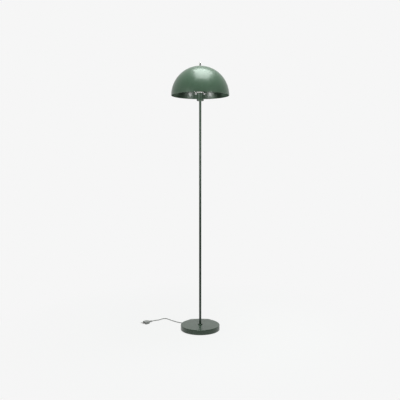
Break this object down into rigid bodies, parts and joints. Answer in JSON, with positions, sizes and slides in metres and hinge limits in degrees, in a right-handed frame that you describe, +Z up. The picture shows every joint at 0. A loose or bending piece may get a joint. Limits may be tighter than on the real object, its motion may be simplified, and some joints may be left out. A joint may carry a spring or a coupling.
{
  "type": "mushroom floor lamp",
  "caption": "Slim floor lamp with a half-round metal shade on a wire carrier, a thin straight pole, a flat round weighted base and a loose mains lead put away behind it.",
  "frame": {"origin": "on the floor, at the middle of the lamp's outline box without its loose lead, which is the pole's axis", "axes": "+Z up along the pole; +X to the right and +Y away from whoever faces the lamp"},
  "size_m": [0.5094, 0.3585, 1.4932],
  "materials": {
    "green_paint": "satin sage green powder coat",
    "cast_iron": "raw grey casting",
    "foam_pad": "closed-cell foam, matt black",
    "zinc_steel": "bright zinc plate",
    "nickel": "polished nickel plate",
    "brass": "bright brass",
    "holder_black": "moulded black thermoset",
    "ring_white": "moulded white plastic",
    "switch_black": "moulded black plastic",
    "fibre": "vulcanised fibre",
    "cap_metal": "bright rolled aluminium",
    "cap_glass": "black insulating glass",
    "bulb_white": "moulded white housing",
    "opal_glass": "opal diffuser",
    "cord_grey": "light grey flexible sheath",
    "core_insulation": "brown core insulation",
    "plug_grey": "light grey moulded plug",
    "tie_black": "black hook and loop tape"
  },
  "bodies": {
    "lamp": {"base_cover": "green_paint", "base_weight": "cast_iron", "base_pad": "foam_pad", "recess_plate": "zinc_steel", "plate_screws": "zinc_steel", "base_rod": "zinc_steel", "base_washer": "zinc_steel", "base_nut": "zinc_steel", "cord_gland": "cord_grey", "foot_collar": "green_paint", "pole_lower": "green_paint", "pole_middle": "green_paint", "pole_upper": "green_paint", "pole_bushes": "zinc_steel", "joint_rods": "zinc_steel", "top_rod": "zinc_steel", "lampholder_cup": "green_paint", "cup_washer": "zinc_steel", "cup_nut": "zinc_steel", "holder_pot": "holder_black", "holder_sleeve": "holder_black", "screw_shell": "brass", "centre_contact": "brass", "terminal_screws": "brass", "switch_core": "holder_black", "switch_bush": "nickel", "shade_ring": "ring_white", "carrier_ring": "nickel", "carrier_wires": "nickel", "carrier_boss": "nickel", "lower_washer": "fibre", "shade_dome": "green_paint", "upper_washer": "nickel", "inner_lead": "cord_grey", "lead_cores": "core_insulation", "cord_lead": "cord_grey", "cord_hank": "cord_grey", "cord_tie": "tie_black", "cord_tail": "cord_grey", "plug_body": "plug_grey", "plug_pins": "nickel"},
    "bulb": {"bulb_contact": "brass", "bulb_insulator": "cap_glass", "bulb_cap": "cap_metal", "bulb_housing": "bulb_white", "bulb_globe": "opal_glass"},
    "finial": {"finial": "nickel"},
    "switch_knob": {"switch_stem": "switch_black", "switch_knob": "switch_black"}
  },
  "joints": [
    {"name": "bulb_turn", "type": "hinge", "parent": "lamp", "child": "bulb", "pos_m": [0, 0, 1.33], "axis": [0, 0, 1], "continuous": true},
    {"name": "finial_turn", "type": "hinge", "parent": "lamp", "child": "finial", "pos_m": [0, 0, 1.48], "axis": [0, 0, 1], "continuous": true},
    {"name": "switch_turn", "type": "hinge", "parent": "lamp", "child": "switch_knob", "pos_m": [0, 0.026, 1.2956], "axis": [0, 1, 0], "continuous": true}
  ]
}
